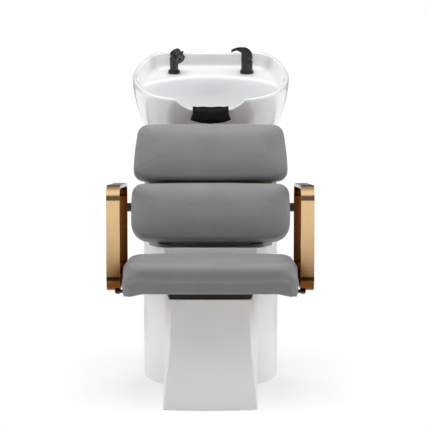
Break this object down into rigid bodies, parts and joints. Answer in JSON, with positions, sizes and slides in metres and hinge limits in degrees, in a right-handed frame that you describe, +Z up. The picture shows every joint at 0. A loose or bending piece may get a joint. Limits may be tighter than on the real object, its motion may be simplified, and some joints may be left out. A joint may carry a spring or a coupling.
{
  "type": "backwash unit",
  "caption": "Salon shampoo chair: upholstered seat with loop armrests joined to an oval column that carries a tilting ceramic basin with mixer tap and hand sprayer.",
  "frame": {"origin": "on the floor, at the centre of the four anchor holes under the basin column", "axes": "+X to the right of the front view, -Y the way the sitter faces, +Z up"},
  "size_m": [0.63, 1.2213, 1.0843],
  "materials": {
    "steel_frame": "black powder coat",
    "fasteners": "zinc plated",
    "white_shell": "gloss white",
    "leg_shell": "satin white",
    "black_tray": "matt black",
    "plywood": "raw",
    "grey_leathercloth": "satin grey",
    "gold_metal": "brushed",
    "white_ceramic": "glazed white",
    "soft_rubber": "matt",
    "neck_pad": "gloss black",
    "grey_plastic": "matt",
    "bright_chrome": "polished",
    "black_fittings": "satin black",
    "black_sprayer": "satin black"
  },
  "bodies": {
    "base": {"floor_plate": "steel_frame", "front_foot_plate": "steel_frame", "base_rails": "steel_frame", "front_post": "steel_frame", "rear_post": "steel_frame", "seat_beam": "steel_frame", "back_mount_plate": "steel_frame", "back_struts": "steel_frame", "back_uprights": "steel_frame", "arm_cross_tube": "steel_frame", "cross_tube_plugs": "steel_frame", "column_shell": "white_shell", "rear_access_panel": "white_shell", "panel_screws": "fasteners", "column_cap": "white_shell", "leg_cover": "leg_shell", "seat_tray": "black_tray", "seat_crossbars": "steel_frame", "seat_board": "plywood", "seat_cushion": "grey_leathercloth", "armrest_left": "gold_metal", "armrest_right": "gold_metal", "arm_side_bolts": "fasteners", "crossbar_bolts": "fasteners", "back_bolts": "fasteners", "board_screws": "fasteners", "lumbar_board": "plywood", "upper_board": "plywood", "lumbar_cushion": "grey_leathercloth", "upper_cushion": "grey_leathercloth", "tilt_base": "steel_frame", "tilt_bolts": "fasteners", "hinge_pin": "fasteners", "pin_nuts": "fasteners", "bump_stops": "soft_rubber"},
    "basin": {"bowl": "white_ceramic", "bowl_bracket": "steel_frame", "bowl_pads": "soft_rubber", "bowl_bolts": "fasteners", "hinge_bushes": "grey_plastic", "drain_flange": "bright_chrome", "drain_seals": "soft_rubber", "drain_nut": "grey_plastic", "drain_tail": "grey_plastic", "mixer_ring": "black_fittings", "mixer_body": "black_fittings", "cartridge": "grey_plastic", "inlet_stubs": "fasteners", "sprayer_ring": "black_fittings", "sprayer_bush": "grey_plastic", "deck_nuts": "fasteners"},
    "lock_lever": {"lock_lever": "black_fittings"},
    "neck_rest": {"neck_rest": "neck_pad"},
    "strainer": {"strainer": "bright_chrome"},
    "mixer_stem": {"mixer_ball": "bright_chrome"},
    "mixer_lever": {"mixer_lever": "black_fittings"},
    "sprayer": {"sprayer_body": "black_sprayer", "sprayer_face": "black_sprayer"},
    "sprayer_button": {"sprayer_button": "black_sprayer"}
  },
  "joints": [
    {"name": "basin_tilt", "type": "hinge", "parent": "base", "child": "basin", "pos_m": [0, 0.12, 0.715], "axis": [1, 0, 0], "range_deg": [-16, 0]},
    {"name": "lock_lever_turn", "type": "hinge", "parent": "base", "child": "lock_lever", "pos_m": [0, 0.12, 0.715], "axis": [-1, 0, 0], "range_deg": [0, 45]},
    {"name": "neck_rest_lift", "type": "slide", "parent": "basin", "child": "neck_rest", "axis": [0, -0.2756, 0.9613], "range_m": [0, 0.06]},
    {"name": "strainer_lift", "type": "slide", "parent": "basin", "child": "strainer", "axis": [0, -0.2756, 0.9613], "range_m": [0, 0.06]},
    {"name": "mixer_turn", "type": "hinge", "parent": "basin", "child": "mixer_stem", "pos_m": [0.1266, 0.44342, 1.03711], "axis": [0, -0.2756, 0.9613], "range_deg": [-45, 45]},
    {"name": "mixer_lift", "type": "hinge", "parent": "mixer_stem", "child": "mixer_lever", "pos_m": [0.1266, 0.44342, 1.03711], "axis": [0, 0.9613, 0.2756], "range_deg": [0, 20]},
    {"name": "sprayer_pull", "type": "slide", "parent": "basin", "child": "sprayer", "axis": [0, -0.2756, 0.9613], "range_m": [0, 0.2]},
    {"name": "sprayer_button_press", "type": "slide", "parent": "sprayer", "child": "sprayer_button", "axis": [-0.7889, 0.031, -0.6137], "range_m": [0, 0.0025], "stiffness_N_per_m": 400}
  ]
}
